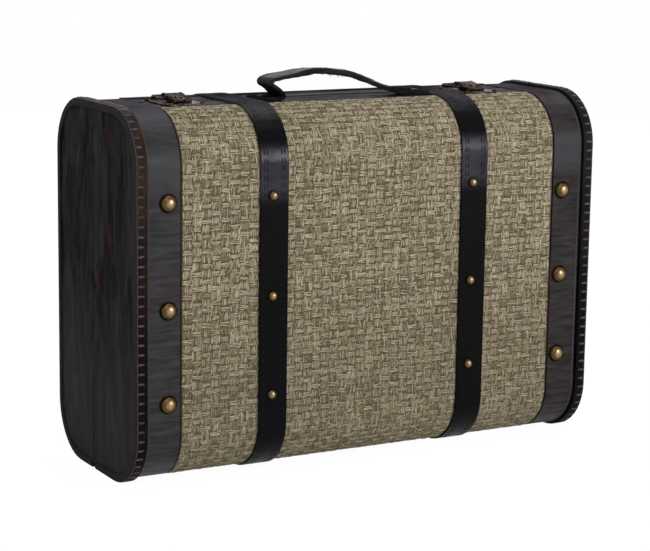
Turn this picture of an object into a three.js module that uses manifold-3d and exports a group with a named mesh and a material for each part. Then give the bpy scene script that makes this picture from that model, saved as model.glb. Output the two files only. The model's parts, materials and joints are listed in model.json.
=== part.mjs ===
// A small decorative suitcase that stands on its hinge side: +X along its length, +Y from its front half to
// its lid, +Z up. The origin is on the ground under the middle of the case. All lengths are in millimetres.
import * as THREE from "three";
import { mergeVertices } from "three/addons/utils/BufferGeometryUtils.js";
import Module from "manifold-3d";

const wasm = await Module();
wasm.setup();

// Driving dimensions of the whole case, measured over the edge bindings
const caseLength = 403;
const caseDepth = 150;
const caseHeight = 283;
const cornerRadius = 43;
const seamPlace = 6.5;
const seamGap = 0.3;

// Thickness of each layer, from the wooden wall outwards and inwards
const wallThickness = 3.2;
const bindingThickness = 4;
const bandThickness = 1.6;
const weaveThickness = 1.2;
const strapThickness = 2;
const liningThickness = 1;

// Widths along the case
const bindingWidth = 9.5;
const bindingLipWidth = 5.6;
const bindingLipThickness = 1.2;
const bindingEdgeRadius = 1.8;
const bandWidth = 28.5;
const strapWidth = 24;
const endBoardThickness = 6;

// Where the straps and hinges stand, as shares of half the case's length from its middle
const strapPlaceShare = 0.438;
const hingePlaceShare = 0.62;

// Bare stretch each side of the hinge line at the bottom, where bindings and straps stop short
const hingeClearance = 3.5;

// Upholstery nails: a dome on a thin flange, and where the rows of nails stand from their strips' middles
const bandNail = { radius: 7, height: 4.6, flange: 0.8 };
const strapNail = { radius: 4, height: 3, flange: 0.5 };
const nailOffsets = { left_band: 3.25, left_strap: -1.25, right_strap: -1.75, right_band: -4.75 };
const nailRowShares = {
    left_band: [0.231, 0.48, 0.761],
    left_strap: [0.228, 0.496, 0.764],
    right_strap: [0.25, 0.489, 0.764],
    right_band: [0.249, 0.481, 0.724],
};
const nailSink = 0.3;

// Leather handle: one limp strap, folded over on the left and arched to the right
const handleWidth = 24;
const handleThickness = 3.2;
const handleRise = 19;
const handleTabGap = 0.5;
const handleJointGap = 0.3;
const handleRivet = { radius: 3, height: 1.4, flange: 0.4 };
const handleRivetInset = 7;
// Route of the strap: shares of half the free span and of the rise, then how far its far edge stands
// above its near edge
const handleRouteShares = [
    [-1, 0, 0], [-0.91, 0, 0], [-0.82, 0.02, 0], [-0.765, 0.07, 0], [-0.732, 0.17, 0], [-0.738, 0.28, 0],
    [-0.775, 0.4, 0], [-0.828, 0.51, 0], [-0.845, 0.61, 0], [-0.825, 0.7, 0], [-0.76, 0.77, 0],
    [-0.647, 0.83, 0], [-0.475, 0.94, -0.05], [-0.343, 1, -0.09], [-0.238, 0.99, -0.08], [-0.132, 0.95, -0.04],
    [0.053, 0.86, 0.03], [0.17, 0.75, 0.1], [0.284, 0.61, 0.17], [0.38, 0.48, 0.2], [0.454, 0.37, 0.2],
    [0.56, 0.22, 0.15], [0.673, 0.105, 0.1], [0.796, 0.02, 0.03], [0.9, 0, 0], [1, 0, 0],
];
// Shares of the strap's length where the bending roots end and the grip begins
const leftRootShare = 0.165;
const rightRootShare = 0.77;

// Toggle latches: sizes seen from the seam, with their plates on the leather trim. Each stands inwards
// from the middle between its strap and its band, by a share of the room that its plate has there
const latchInwardShares = { left: -0.471, right: 0.653 };
const latchPlate = { width: 33, thickness: 1.4, reach: 38, start: 1, cornerRadius: 4 };
const keeperPlate = { width: 26, thickness: 1.4, reach: 14.5, start: 1, cornerRadius: 3 };
const latchPivot = { setBack: 9, height: 5.1 };
const lever = { width: 16, wall: 2, reach: 26, tipHeight: 3.5, tipDepth: 2.2, knuckleRadius: 2.6, roofSetBack: 0.9 };
const leverLug = { width: 8, radius: 1.6 };
const latchPin = { radius: 1.1, lugClearance: 0.15, leverClearance: 0.3 };
const bail = { wireRadius: 0.9, crankRadius: 7, crankAngle: 190, clearance: 0.3, crossPlace: 8, crossHeight: 3.4 };
const keeperRoll = { radius: 2, gap: 0.4, length: 14 };
const plateScrew = { radius: 2.1, height: 1, flange: 0.3 };
const plateScrewInset = 3.4;

// Butt hinges under the seam
const hingeLeaf = { width: 30, reach: 16, thickness: 0.8 };
const hingeBarrelRadius = 1.2;
const hingeAxisHeight = 1.5;
const hingePinRadius = 0.5;
const hingePinClearance = 0.15;
const hingeMiddleShare = 1 / 3;

// Running clearance between pieces that turn or are cut against each other
const runningGap = 0.3;
const cutOverrun = 1;

// How finely round stretches are faceted
const cornerSteps = 11;
const nailSides = 14;
const nailRings = 3;
const smallSides = 12;
const wireSides = 8;
const bendSteps = 3;
const plateCornerSteps = 4;
const handleSteps = { root: 12, grip: 26 };

// Places that follow from the sizes above
const quarterTurn = Math.PI / 2;
const halfLength = caseLength / 2;
const bandInnerPlace = halfLength - bindingWidth - bandWidth;
const strapPlace = halfLength * strapPlaceShare;
const stripPlaces = { band: bandInnerPlace + bandWidth / 2, strap: strapPlace };
const boardOuterPlace = halfLength - bindingLipThickness;
const boardInnerPlace = boardOuterPlace - endBoardThickness;
const wallDepth = bindingThickness;
const boardDepth = wallDepth + wallThickness;
const bandDepth = wallDepth - bandThickness;
const weaveDepth = wallDepth - weaveThickness;
const strapDepth = weaveDepth - strapThickness;
const trimTop = caseHeight - weaveDepth;
const handleSeat = trimTop + handleThickness / 2;
const frontHalf = { name: "base", side: -1, depth: caseDepth / 2 + seamPlace };
const lidHalf = { name: "lid", side: 1, depth: caseDepth / 2 - seamPlace };

const colours = {
    wood: [0x2b2a2a, 0.55, 0],
    band: [0x3d3c3d, 0.45, 0],
    binding: [0x3a2a28, 0.5, 0],
    blackLeather: [0x111114, 0.3, 0],
    trimLeather: [0x2c2a2c, 0.45, 0],
    weave: [0x968a70, 0.9, 0],
    lining: [0x6d5f4c, 0.95, 0],
    nailBrass: [0x8a6d3a, 0.35, 1],
    latchBronze: [0x4b3a38, 0.45, 1],
    bailBrass: [0x9c8048, 0.35, 1],
    hingeSteel: [0x6a6258, 0.4, 1],
    handleLeather: [0x2e2e2e, 0.6, 0],
};

const suitcase = new THREE.Group();

function makeMaterial([color, roughness, metalness]) {
    return new THREE.MeshStandardMaterial({ color, roughness, metalness });
}

function addPiece(name, geometry, colour, parent = suitcase) {
    const mesh = new THREE.Mesh(geometry, makeMaterial(colour));
    mesh.name = name;
    parent.add(mesh);
    return mesh;
}

// Closed solids for joins and cuts
function toSolid(geometry) {
    const bare = geometry.clone();
    bare.deleteAttribute("normal");
    bare.deleteAttribute("uv");
    const merged = mergeVertices(bare);
    const vertProperties = new Float32Array(merged.attributes.position.array);
    const triVerts = new Uint32Array(merged.index.array);
    return new wasm.Manifold(new wasm.Mesh({ numProp: 3, vertProperties, triVerts }));
}

function toGeometry(solid) {
    const mesh = solid.getMesh();
    const geometry = new THREE.BufferGeometry();
    geometry.setAttribute("position", new THREE.BufferAttribute(new Float32Array(mesh.vertProperties), 3));
    geometry.setIndex(new THREE.BufferAttribute(new Uint32Array(mesh.triVerts), 1));
    geometry.computeVertexNormals();
    return geometry;
}

function join(first, ...others) {
    let solid = toSolid(first);
    for (const other of others) solid = solid.add(toSolid(other));
    return toGeometry(solid);
}

function cut(first, ...tools) {
    let solid = toSolid(first);
    for (const tool of tools) solid = solid.subtract(toSolid(tool));
    return toGeometry(solid);
}

// Sweeps a closed section along frames that each give a place and the section's two directions
function sweep(outline, frames) {
    const flat = outline.map(([across, up]) => new THREE.Vector2(across, up));
    if (THREE.ShapeUtils.isClockWise(flat)) flat.reverse();
    const count = flat.length;
    const positions = [];
    for (const frame of frames) {
        for (const { x, y } of flat) {
            const point = frame.place.clone().addScaledVector(frame.across, x).addScaledVector(frame.up, y);
            positions.push(point.x, point.y, point.z);
        }
    }
    const indices = [];
    for (let ring = 0; ring < frames.length - 1; ring += 1) {
        for (let i = 0; i < count; i += 1) {
            const a = ring * count + i;
            const b = ring * count + ((i + 1) % count);
            indices.push(a, b, b + count, a, b + count, a + count);
        }
    }
    const lastRing = (frames.length - 1) * count;
    for (const [a, b, c] of THREE.ShapeUtils.triangulateShape(flat, [])) {
        indices.push(a, c, b, lastRing + a, lastRing + b, lastRing + c);
    }
    return outward(positions, indices);
}

// Triangles turned so that the closed surface faces out
function outward(positions, indices) {
    const [a, b, c] = [new THREE.Vector3(), new THREE.Vector3(), new THREE.Vector3()];
    let volume = 0;
    for (let i = 0; i < indices.length; i += 3) {
        a.fromArray(positions, 3 * indices[i]);
        b.fromArray(positions, 3 * indices[i + 1]);
        c.fromArray(positions, 3 * indices[i + 2]);
        volume += a.dot(b.cross(c));
    }
    if (volume < 0) {
        for (let i = 0; i < indices.length; i += 3) {
            [indices[i + 1], indices[i + 2]] = [indices[i + 2], indices[i + 1]];
        }
    }
    const geometry = new THREE.BufferGeometry();
    geometry.setAttribute("position", new THREE.Float32BufferAttribute(positions, 3));
    geometry.setIndex(indices);
    geometry.computeVertexNormals();
    return geometry;
}

// Frames round one half of the case, on the bindings' outer surface, from the top seam to the bottom seam.
// The starts are distances from the seam plane, and none means that the piece begins where the corner does.
function wrapFrames(half, topStart, bottomStart) {
    const reach = half.depth - cornerRadius;
    const frames = [];
    const add = (fromSeam, height, angle) => frames.push({
        place: new THREE.Vector3(0, seamPlace + half.side * fromSeam, height),
        across: new THREE.Vector3(1, 0, 0),
        up: new THREE.Vector3(0, -half.side * Math.cos(angle), -Math.sin(angle)),
    });
    const addCorner = (middleHeight, firstAngle) => {
        for (let i = 0; i <= cornerSteps; i += 1) {
            const angle = firstAngle - quarterTurn * i / cornerSteps;
            add(reach + cornerRadius * Math.cos(angle), middleHeight + cornerRadius * Math.sin(angle), angle);
        }
    };
    if (topStart !== undefined) add(topStart, caseHeight, quarterTurn);
    addCorner(caseHeight - cornerRadius, quarterTurn);
    addCorner(cornerRadius, 0);
    if (bottomStart !== undefined) add(bottomStart, 0, -quarterTurn);
    return frames;
}

// A strip that wraps one half: from one place along the case to another, between two depths
function wrapStrip(half, places, depths, topStart, bottomStart) {
    const section = [
        [places[0], depths[0]],
        [places[1], depths[0]],
        [places[1], depths[1]],
        [places[0], depths[1]],
    ];
    return sweep(section, wrapFrames(half, topStart, bottomStart));
}

function extrudeAlongX(shape, from, to) {
    const settings = { depth: to - from, bevelEnabled: false, curveSegments: smallSides };
    const toYZ = new THREE.Matrix4().makeBasis(
        new THREE.Vector3(0, 1, 0), new THREE.Vector3(0, 0, 1), new THREE.Vector3(1, 0, 0));
    return new THREE.ExtrudeGeometry(shape, settings).applyMatrix4(toYZ).translate(from, 0, 0);
}

function rodAlongX(radius, length, y, z, sides = smallSides) {
    return new THREE.CylinderGeometry(radius, radius, length, sides).rotateZ(quarterTurn).translate(0, y, z);
}

// A domed nail, rivet or screw head that stands on the XY plane
function domeHead({ radius, height, flange }, sink = 0) {
    const profile = [new THREE.Vector2(0, -sink), new THREE.Vector2(radius, -sink)];
    for (let i = 0; i < nailRings; i += 1) {
        const angle = quarterTurn * i / nailRings;
        profile.push(new THREE.Vector2(radius * Math.cos(angle), flange + (height - flange) * Math.sin(angle)));
    }
    profile.push(new THREE.Vector2(0, height));
    return new THREE.LatheGeometry(profile, nailSides).rotateX(quarterTurn);
}

const endName = (place) => (place < 0 ? "left" : "right");
const ends = [-1, 1];

// The wooden wall and the leather and cloth layers that wrap each half
function addWall(half) {
    const geometry = wrapStrip(
        half, [-boardOuterPlace, boardOuterPlace], [wallDepth, boardDepth], seamGap / 2, seamGap / 2);
    addPiece(`${half.name}_wall`, geometry, colours.wood);
}

function addLining(half) {
    const places = [-boardInnerPlace, boardInnerPlace];
    const depths = [boardDepth, boardDepth + liningThickness];
    addPiece(`${half.name}_lining`, wrapStrip(half, places, depths, seamGap / 2, seamGap / 2), colours.lining);
}

function addEndBoard(half, end) {
    const outline = wrapFrames(half, seamGap / 2, seamGap / 2).map(({ place, up }) => (
        new THREE.Vector2(place.y + up.y * boardDepth, place.z + up.z * boardDepth)));
    const shape = new THREE.Shape(outline);
    const places = [end * boardInnerPlace, end * boardOuterPlace].sort((a, b) => a - b);
    addPiece(`${half.name}_${endName(end)}_end_board`, extrudeAlongX(shape, ...places), colours.wood);
}

function addWeave(half) {
    const places = [-bandInnerPlace, bandInnerPlace];
    addPiece(`${half.name}_weave_cover`, wrapStrip(half, places, [weaveDepth, wallDepth]), colours.weave);
}

function addTrim(half) {
    const reach = half.depth - cornerRadius;
    const size = reach - seamGap / 2;
    const middle = seamPlace + half.side * (reach + seamGap / 2) / 2;
    const heights = {
        top: caseHeight - (weaveDepth + wallDepth) / 2,
        bottom: (weaveDepth + wallDepth) / 2,
    };
    for (const [name, height] of Object.entries(heights)) {
        const geometry = new THREE.BoxGeometry(2 * bandInnerPlace, size, weaveThickness);
        addPiece(`${half.name}_${name}_trim`, geometry.translate(0, middle, height), colours.trimLeather);
    }
}

function nailPlace(row) {
    const [name, strip] = row.split("_");
    const end = name === "left" ? -1 : 1;
    return end * stripPlaces[strip] + nailOffsets[row];
}

// Fuses a row of nail heads to a wrapped strip's outer face, as on the lid's back
function withNails(geometry, half, nail, row, depth) {
    const face = seamPlace + half.side * (half.depth - depth);
    const head = domeHead(nail, nailSink).rotateX(-half.side * quarterTurn);
    const heads = nailRowShares[row].map((share) => (
        head.clone().translate(nailPlace(row), face, share * caseHeight)));
    return join(geometry, ...heads);
}

function addBand(half, end) {
    const name = endName(end);
    const places = [end * bandInnerPlace, end * (bandInnerPlace + bandWidth)].sort((a, b) => a - b);
    let geometry = wrapStrip(half, places, [bandDepth, wallDepth], seamGap / 2, seamGap / 2);
    if (half === lidHalf) {
        geometry = withNails(geometry, half, bandNail, `${name}_band`, bandDepth);
    }
    addPiece(`${half.name}_${name}_band`, geometry, colours.band);
}

function addStrap(half, end) {
    const name = endName(end);
    const middle = end * strapPlace;
    const places = [middle - strapWidth / 2, middle + strapWidth / 2];
    let geometry = wrapStrip(half, places, [strapDepth, weaveDepth], seamGap / 2, hingeClearance);
    if (half === lidHalf) {
        geometry = withNails(geometry, half, strapNail, `${name}_strap`, strapDepth);
    }
    addPiece(`${half.name}_${name}_strap`, geometry, colours.blackLeather);
}

// Edge binding: a strip on the wall's edge with a lip turned over the end board, its outer edge rounded
function addBinding(half, end) {
    const inner = halfLength - bindingWidth;
    const section = [[inner, wallDepth], [inner, 0]];
    const edgeSteps = 3;
    for (let i = 0; i <= edgeSteps; i += 1) {
        const angle = quarterTurn * i / edgeSteps;
        section.push([
            halfLength - bindingEdgeRadius * (1 - Math.sin(angle)),
            bindingEdgeRadius * (1 - Math.cos(angle)),
        ]);
    }
    section.push([halfLength, bindingLipWidth], [boardOuterPlace, bindingLipWidth], [boardOuterPlace, wallDepth]);
    const placed = section.map(([place, depth]) => [end * place, depth]);
    const geometry = sweep(placed, wrapFrames(half, seamGap / 2, hingeClearance));
    addPiece(`${half.name}_${endName(end)}_edge_binding`, geometry, colours.binding);
}

function addHalf(half) {
    addWall(half);
    addLining(half);
    addWeave(half);
    addTrim(half);
    for (const end of ends) {
        addEndBoard(half, end);
        addBand(half, end);
        addStrap(half, end);
        addBinding(half, end);
    }
}

// Twelve nails on the front, each a piece of its own
function addFrontNails() {
    for (const [row, shares] of Object.entries(nailRowShares)) {
        const [nail, depth] = row.endsWith("band") ? [bandNail, bandDepth] : [strapNail, strapDepth];
        shares.forEach((share, i) => {
            const head = domeHead(nail).rotateX(quarterTurn);
            const mesh = addPiece(`${row}_nail_${i + 1}`, head, colours.nailBrass);
            mesh.position.set(nailPlace(row), depth - caseDepth / 2, share * caseHeight);
        });
    }
}

// One edge of the handle's middle sheet, resting flat on the trim at both tabs
const handleMiddle = seamPlace + (cornerRadius - frontHalf.depth) / 2;
const handleHalfSpan = strapPlace - strapWidth / 2 - handleTabGap;

function handleEdge(side) {
    const points = handleRouteShares.map(([along, up, tilt]) => new THREE.Vector3(
        along * handleHalfSpan,
        handleMiddle + side * handleWidth / 2,
        handleSeat + (up + side * tilt / 2) * handleRise));
    return new THREE.CatmullRomCurve3(points, false, "centripetal");
}

function handlePiece(edges, from, to, steps) {
    const section = [
        [-handleWidth / 2, -handleThickness / 2],
        [handleWidth / 2, -handleThickness / 2],
        [handleWidth / 2, handleThickness / 2],
        [-handleWidth / 2, handleThickness / 2],
    ];
    const frames = [];
    for (let i = 0; i <= steps; i += 1) {
        const share = from + (to - from) * i / steps;
        const [near, far] = edges.map((edge) => edge.getPointAt(share));
        for (const point of [near, far]) point.z = Math.max(point.z, handleSeat);
        const [nearTangent, farTangent] = edges.map((edge) => edge.getTangentAt(share));
        const across = far.clone().sub(near).normalize();
        const up = nearTangent.add(farTangent).cross(across).normalize();
        frames.push({ place: near.add(far).multiplyScalar(1 / 2), across, up });
    }
    return sweep(section, frames);
}

function addHandle() {
    const edges = ends.map(handleEdge);
    const gapShare = handleJointGap / edges[0].getLength();
    const rivet = (place) => (
        domeHead(handleRivet, nailSink).translate(place, handleMiddle, trimTop + handleThickness));
    const rivetPlace = handleHalfSpan - handleRivetInset;
    const left = handlePiece(edges, 0, leftRootShare, handleSteps.root);
    const grip = handlePiece(edges, leftRootShare + gapShare, rightRootShare, handleSteps.grip);
    const right = handlePiece(edges, rightRootShare + gapShare, 1, handleSteps.root);
    addPiece("handle_left_root", join(left, rivet(-rivetPlace)), colours.handleLeather);
    addPiece("handle_grip", grip, colours.handleLeather);
    addPiece("handle_right_root", join(right, rivet(rivetPlace)), colours.handleLeather);
}

// A plate with rounded corners on the trim, between two distances from the seam
function roundedPlate({ width, thickness, reach, start, cornerRadius: corner }, side) {
    const [near, far] = [side * start, side * reach].sort((a, b) => a - b);
    const half = width / 2;
    const shape = new THREE.Shape();
    shape.moveTo(-half + corner, near);
    shape.lineTo(half - corner, near);
    shape.quadraticCurveTo(half, near, half, near + corner);
    shape.lineTo(half, far - corner);
    shape.quadraticCurveTo(half, far, half - corner, far);
    shape.lineTo(-half + corner, far);
    shape.quadraticCurveTo(-half, far, -half, far - corner);
    shape.lineTo(-half, near + corner);
    shape.quadraticCurveTo(-half, near, -half + corner, near);
    const settings = { depth: thickness, bevelEnabled: false, curveSegments: plateCornerSteps };
    return new THREE.ExtrudeGeometry(shape, settings);
}

function plateScrews({ width, thickness, reach }, side) {
    return ends.map((end) => domeHead(plateScrew, nailSink).translate(
        end * (width / 2 - plateScrewInset), side * (reach - plateScrewInset), thickness));
}

// Places in a latch's own frame: x along the case, y from the seam, z from the trim
const pivotY = -latchPivot.setBack;
const pivotZ = latchPivot.height;
const crankAngle = THREE.MathUtils.degToRad(bail.crankAngle);
const crankY = pivotY + bail.crankRadius * Math.cos(crankAngle);
const crankZ = pivotZ + bail.crankRadius * Math.sin(crankAngle);

function latchBase() {
    const lug = new THREE.Shape();
    lug.moveTo(pivotY - leverLug.radius, latchPlate.thickness - nailSink);
    lug.lineTo(pivotY + leverLug.radius, latchPlate.thickness - nailSink);
    lug.lineTo(pivotY + leverLug.radius, pivotZ);
    lug.absarc(pivotY, pivotZ, leverLug.radius, 0, Math.PI, false);
    const block = extrudeAlongX(lug, -leverLug.width / 2, leverLug.width / 2);
    const holeRadius = latchPin.radius + latchPin.lugClearance;
    const hole = rodAlongX(holeRadius, leverLug.width + 2 * cutOverrun, pivotY, pivotZ);
    const plate = join(roundedPlate(latchPlate, -1), block, ...plateScrews(latchPlate, -1));
    return cut(plate, hole);
}

function latchLever() {
    const { width, wall, roofSetBack, reach, tipHeight, tipDepth, knuckleRadius } = lever;
    const tipY = -reach;
    const side = new THREE.Shape();
    side.moveTo(pivotY, pivotZ + knuckleRadius);
    side.lineTo(tipY, tipHeight + tipDepth / 2);
    side.lineTo(tipY, tipHeight - tipDepth / 2);
    side.lineTo(crankY - knuckleRadius, crankZ - bail.wireRadius - 2 * bail.clearance);
    side.lineTo(pivotY, pivotZ - knuckleRadius);
    side.absarc(pivotY, pivotZ, knuckleRadius, -quarterTurn, quarterTurn, false);
    const block = extrudeAlongX(side, -width / 2, width / 2);
    const channelWidth = width - 2 * wall;
    const boreRadius = leverLug.radius + runningGap;
    const slope = (pivotZ + knuckleRadius - tipHeight - tipDepth / 2) / (pivotY - tipY);
    const channelEnd = tipY + wall + wall;
    const channelTop = (y) => pivotZ + boreRadius - slope * (pivotY - y);
    // The roof ends short of the pivot, so that it clears the lug when the lever is thrown right back
    const roofEnd = pivotY - roofSetBack;
    const rear = pivotY + knuckleRadius + cutOverrun;
    const above = pivotZ + knuckleRadius + cutOverrun;
    const channel = new THREE.Shape();
    channel.moveTo(roofEnd, channelTop(roofEnd));
    channel.lineTo(channelEnd, channelTop(channelEnd));
    channel.lineTo(channelEnd, 0);
    channel.lineTo(rear, 0);
    channel.lineTo(rear, above);
    channel.lineTo(roofEnd, above);
    const channelBlock = extrudeAlongX(channel, -channelWidth / 2, channelWidth / 2);
    const holeLength = width + 2 * cutOverrun;
    const pinHole = rodAlongX(latchPin.radius + latchPin.leverClearance, holeLength, pivotY, pivotZ);
    const bailHole = rodAlongX(bail.wireRadius + bail.clearance, holeLength, crankY, crankZ);
    return cut(block, channelBlock, pinHole, bailHole);
}

// Wire bail: both ends turned in through the lever's cheeks, its crossbar over the keeper
function latchBail() {
    const sideX = lever.width / 2 + bail.clearance + bail.wireRadius;
    const endX = lever.width / 2 - lever.wall + bail.clearance;
    const bend = 2 * bail.wireRadius;
    const sag = (share) => crankZ + (bail.crossHeight - crankZ) * share;
    const place = (x, share) => (
        new THREE.Vector3(x, crankY + (bail.crossPlace - crankY) * share, sag(share)));
    const bendShare = bend / (bail.crossPlace - crankY);
    const path = new THREE.CurvePath();
    path.add(new THREE.LineCurve3(place(-endX, 0), place(-sideX + bail.wireRadius / 2, 0)));
    path.add(new THREE.QuadraticBezierCurve3(
        place(-sideX + bail.wireRadius / 2, 0), place(-sideX, 0), place(-sideX, bendShare / 2)));
    path.add(new THREE.LineCurve3(place(-sideX, bendShare / 2), place(-sideX, 1 - bendShare)));
    path.add(new THREE.QuadraticBezierCurve3(
        place(-sideX, 1 - bendShare), place(-sideX, 1), place(-sideX + bend, 1)));
    path.add(new THREE.LineCurve3(place(-sideX + bend, 1), place(sideX - bend, 1)));
    path.add(new THREE.QuadraticBezierCurve3(
        place(sideX - bend, 1), place(sideX, 1), place(sideX, 1 - bendShare)));
    path.add(new THREE.LineCurve3(place(sideX, 1 - bendShare), place(sideX, bendShare / 2)));
    path.add(new THREE.QuadraticBezierCurve3(
        place(sideX, bendShare / 2), place(sideX, 0), place(sideX - bail.wireRadius / 2, 0)));
    path.add(new THREE.LineCurve3(place(sideX - bail.wireRadius / 2, 0), place(endX, 0)));
    return path;
}

function wireAlong(path) {
    const places = [];
    for (const curve of path.curves) {
        const steps = curve.isLineCurve3 ? 1 : bendSteps;
        for (let i = 0; i < steps; i += 1) places.push(curve.getPoint(i / steps));
    }
    places.push(path.curves.at(-1).getPoint(1));
    const normal = new THREE.Vector3(0, crankZ - bail.crossHeight, bail.crossPlace - crankY).normalize();
    const frames = places.map((place, i) => {
        const before = places[Math.max(i - 1, 0)];
        const after = places[Math.min(i + 1, places.length - 1)];
        const tangent = after.clone().sub(before).normalize();
        return { place, across: tangent.cross(normal).normalize(), up: normal };
    });
    const section = [];
    for (let i = 0; i < wireSides; i += 1) {
        const angle = 2 * Math.PI * i / wireSides;
        section.push([bail.wireRadius * Math.cos(angle), bail.wireRadius * Math.sin(angle)]);
    }
    return sweep(section, frames);
}

function latchKeeper() {
    const rollY = bail.crossPlace + bail.wireRadius + keeperRoll.gap + keeperRoll.radius;
    const rollZ = keeperPlate.thickness + keeperRoll.radius / 2;
    const roll = rodAlongX(keeperRoll.radius, keeperRoll.length, rollY, rollZ);
    return join(roundedPlate(keeperPlate, 1), roll, ...plateScrews(keeperPlate, 1));
}

function addLatch(name, place) {
    const latch = new THREE.Group();
    latch.position.set(place, seamPlace, trimTop);
    suitcase.add(latch);
    addPiece(`${name}_latch_base`, latchBase(), colours.latchBronze, latch);
    addPiece(`${name}_latch_lever`, latchLever(), colours.latchBronze, latch);
    const pin = rodAlongX(latchPin.radius, lever.width, pivotY, pivotZ);
    addPiece(`${name}_latch_pin`, pin, colours.bailBrass, latch);
    addPiece(`${name}_latch_bail`, wireAlong(latchBail()), colours.bailBrass, latch);
    addPiece(`${name}_latch_keeper`, latchKeeper(), colours.latchBronze, latch);
}

// One leaf of a butt hinge, lying under the bottom trim, with its share of the knuckles
function hingeLeafPiece(side, knuckles, others) {
    const leafTop = weaveDepth - hingeAxisHeight;
    const leafMiddle = leafTop - hingeLeaf.thickness / 2;
    const leaf = new THREE.BoxGeometry(hingeLeaf.width, hingeLeaf.reach, hingeLeaf.thickness)
        .translate(0, side * hingeLeaf.reach / 2, leafMiddle);
    const barrels = knuckles.map(([from, to]) => (
        rodAlongX(hingeBarrelRadius, to - from, 0, 0).translate((from + to) / 2, 0, 0)));
    const bodies = join(leaf, ...barrels);
    const clearRadius = hingeBarrelRadius + runningGap;
    const notches = others.map(([from, to]) => (
        new THREE.BoxGeometry(to - from + 2 * runningGap, 2 * clearRadius, 2 * (leafTop + cutOverrun))
            .translate((from + to) / 2, 0, 0)));
    const bore = rodAlongX(hingePinRadius + hingePinClearance, hingeLeaf.width + 2 * cutOverrun, 0, 0);
    return cut(bodies, ...notches, bore);
}

function latchPlace(end) {
    const strapEdge = strapPlace + strapWidth / 2;
    const play = (bandInnerPlace - strapEdge - latchPlate.width) / 2;
    return end * ((strapEdge + bandInnerPlace) / 2 - latchInwardShares[endName(end)] * play);
}

function addHinge(end) {
    const hinge = new THREE.Group();
    hinge.position.set(end * halfLength * hingePlaceShare, seamPlace, hingeAxisHeight);
    suitcase.add(hinge);
    const half = hingeLeaf.width / 2;
    const middle = hingeLeaf.width * hingeMiddleShare / 2;
    const outer = [[-half, -middle], [middle, half]];
    const inner = [[-middle + runningGap, middle - runningGap]];
    const name = endName(end);
    addPiece(`${name}_hinge_base_leaf`, hingeLeafPiece(-1, outer, inner), colours.hingeSteel, hinge);
    addPiece(`${name}_hinge_lid_leaf`, hingeLeafPiece(1, inner, outer), colours.hingeSteel, hinge);
    const pin = rodAlongX(hingePinRadius, hingeLeaf.width, 0, 0);
    addPiece(`${name}_hinge_pin`, pin, colours.hingeSteel, hinge);
}

addHalf(frontHalf);
addHalf(lidHalf);
addFrontNails();
addHandle();
for (const end of ends) {
    addLatch(endName(end), latchPlace(end));
    addHinge(end);
}

export default suitcase;
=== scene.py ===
"""A small vintage suitcase: woven cloth, leather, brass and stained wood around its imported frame."""

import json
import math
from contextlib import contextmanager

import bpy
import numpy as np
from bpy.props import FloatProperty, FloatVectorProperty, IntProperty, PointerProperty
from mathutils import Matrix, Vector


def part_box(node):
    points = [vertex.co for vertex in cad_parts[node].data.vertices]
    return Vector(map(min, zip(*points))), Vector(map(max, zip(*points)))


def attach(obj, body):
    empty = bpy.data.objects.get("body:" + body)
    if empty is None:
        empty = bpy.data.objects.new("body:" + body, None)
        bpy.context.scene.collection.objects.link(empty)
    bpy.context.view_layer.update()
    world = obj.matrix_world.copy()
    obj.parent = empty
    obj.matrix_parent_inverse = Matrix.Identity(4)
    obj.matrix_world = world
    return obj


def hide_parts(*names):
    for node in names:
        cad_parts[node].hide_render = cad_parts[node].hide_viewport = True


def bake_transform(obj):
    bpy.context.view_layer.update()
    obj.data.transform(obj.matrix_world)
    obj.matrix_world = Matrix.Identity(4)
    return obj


bl_info = {
    "name": "Woven suitcase",
    "version": (1, 0, 0),
    "blender": (4, 5, 0),
    "location": "3D View > Sidebar > Suitcase",
    "description": "Builds the cloth, leather, brass and wood of a small vintage suitcase around its frame",
    "category": "Object",
}

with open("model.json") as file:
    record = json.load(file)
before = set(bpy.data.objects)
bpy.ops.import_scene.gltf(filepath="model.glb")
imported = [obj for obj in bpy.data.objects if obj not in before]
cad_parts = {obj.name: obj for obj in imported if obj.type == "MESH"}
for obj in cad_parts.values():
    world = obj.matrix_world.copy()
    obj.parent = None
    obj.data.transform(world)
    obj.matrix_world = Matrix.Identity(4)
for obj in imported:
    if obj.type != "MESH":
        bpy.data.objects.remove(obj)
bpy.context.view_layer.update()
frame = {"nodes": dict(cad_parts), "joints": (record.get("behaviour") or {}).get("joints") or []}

MM = 0.001
QUARTER = math.pi / 2
X, Y, Z = range(3)
# Points nearer than this are merged, and faces thinner than this are dissolved
MERGED = 0.001 * MM
SLIVER = 0.002 * MM

# The case's own measures, read from its frame
binding_low, binding_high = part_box("base_left_edge_binding")
cover_low, cover_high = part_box("base_weave_cover")
strap_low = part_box("base_left_strap")[0]
band_low, band_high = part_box("base_left_band")
SEAM = next(joint for joint in frame["joints"] if joint["name"] == "lid_hinge")["pos_m"][Y]
TOP = binding_high.z
FRONT = binding_low.y
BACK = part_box("lid_left_edge_binding")[1].y
CORNER = cover_high.y - FRONT
TRIM_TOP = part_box("base_top_trim")[1].z
COVER_DEPTH = cover_low.y - FRONT
STRAP_DEPTH = strap_low.y - FRONT
BAND_DEPTH = band_low.y - FRONT
# Which way each half lies from the seam along Y, and how deep it is; which way each end lies along X
HALVES = {
    "base": {"side": -1, "depth": SEAM - FRONT},
    "lid": {"side": 1, "depth": BACK - SEAM},
}
ENDS = {"left": -1, "right": 1}


# Sizes and colours to change


def linear(text):
    """A linear colour from the sRGB hex value that a paint chart or a screen gives."""
    channels = [int(text[start:start + 2], 16) / 255 for start in (1, 3, 5)]
    return tuple(
        channel / 12.92 if channel <= 0.04045 else ((channel + 0.055) / 1.055) ** 2.4
        for channel in channels) + (1.0,)


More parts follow.
